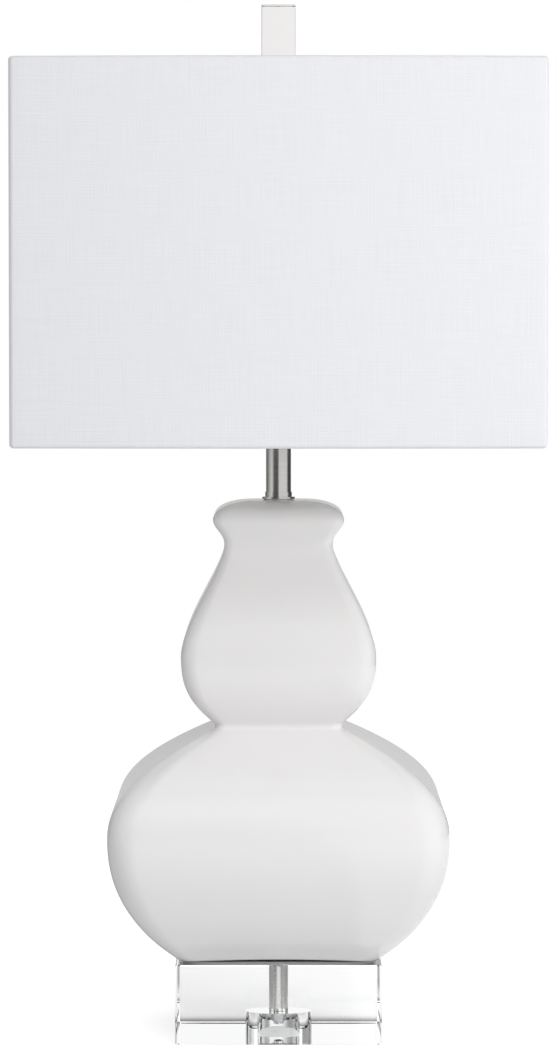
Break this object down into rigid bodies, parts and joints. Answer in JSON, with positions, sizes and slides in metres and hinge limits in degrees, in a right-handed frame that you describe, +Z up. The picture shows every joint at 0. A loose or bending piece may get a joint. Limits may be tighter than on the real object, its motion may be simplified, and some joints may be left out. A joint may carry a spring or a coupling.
{
  "type": "table lamp",
  "caption": "Table lamp: a glossy white square double gourd of ceramic on a clear crystal block, with a nickel neck, a square linen shade and a clear crystal finial.",
  "frame": {"origin": "middle of the crystal block's underside, on the table", "axes": "+Z up along the lamp's axis, -Y towards the viewer and the switch knob, +X to the viewer's right"},
  "size_m": [0.36, 0.36, 0.7046],
  "materials": {
    "crystal": "polished",
    "white_glaze": "gloss",
    "brushed_nickel": "satin",
    "zinc_steel": "satin",
    "brass": "satin",
    "black_rubber": "matte",
    "clear_rubber": "matte",
    "white_plastic": "matte",
    "black_plastic": "satin",
    "fibre_board": "matte",
    "white_wire": "satin",
    "shade_backing": "matte",
    "white_linen": "matte"
  },
  "bodies": {
    "lamp_base": {"crystal_block": "crystal", "block_rod_sleeve": "zinc_steel", "bottom_rubber_washer": "black_rubber", "bottom_steel_washer": "zinc_steel", "bottom_hex_nut": "zinc_steel", "threaded_pipe": "zinc_steel", "seat_gasket": "clear_rubber", "gourd_body": "white_glaze", "cord_grommet": "black_rubber", "centring_washer": "white_plastic", "check_ring": "brushed_nickel", "neck_tube": "brushed_nickel", "harp_saddle": "brushed_nickel", "saddle_lock_nut": "brushed_nickel", "socket_cap": "brushed_nickel", "cap_set_screw": "zinc_steel", "socket_outer_shell": "brushed_nickel", "socket_liner": "fibre_board", "socket_core": "black_plastic", "screw_shell": "brass", "centre_contact": "brass", "terminal_screws": "brass"},
    "switch": {"switch_shaft": "black_plastic", "switch_knob": "black_plastic"},
    "harp": {"harp_wire": "brushed_nickel"},
    "left_ferrule": {"ferrule_left": "brushed_nickel"},
    "right_ferrule": {"ferrule_right": "brushed_nickel"},
    "swivel": {"harp_swivel_stud": "brushed_nickel"},
    "shade": {"shade_top_frame": "white_wire", "shade_bottom_ring": "white_wire", "shade_lining": "shade_backing", "shade_linen": "white_linen"},
    "finial": {"finial_base": "brushed_nickel", "finial_crystal": "crystal"}
  },
  "joints": [
    {"name": "harp_lift", "type": "slide", "parent": "lamp_base", "child": "harp", "axis": [0, 0, 1], "range_m": [0, 0.03]},
    {"name": "left_ferrule_lift", "type": "slide", "parent": "harp", "child": "left_ferrule", "axis": [0, 0, 1], "range_m": [0, 0.015]},
    {"name": "right_ferrule_lift", "type": "slide", "parent": "harp", "child": "right_ferrule", "axis": [0, 0, 1], "range_m": [0, 0.015]},
    {"name": "shade_turn", "type": "hinge", "parent": "harp", "child": "swivel", "pos_m": [0, 0, 0.6415], "axis": [0, 0, 1], "continuous": true},
    {"name": "shade_lift", "type": "slide", "parent": "swivel", "child": "shade", "axis": [0, 0, 1], "range_m": [0, 0.27]},
    {"name": "finial_turn", "type": "hinge", "parent": "shade", "child": "finial", "pos_m": [0, 0, 0.645], "axis": [0, 0, 1], "continuous": true},
    {"name": "switch_turn", "type": "hinge", "parent": "lamp_base", "child": "switch", "pos_m": [0, -0.02, 0.4475], "axis": [0, -1, 0], "continuous": true}
  ]
}
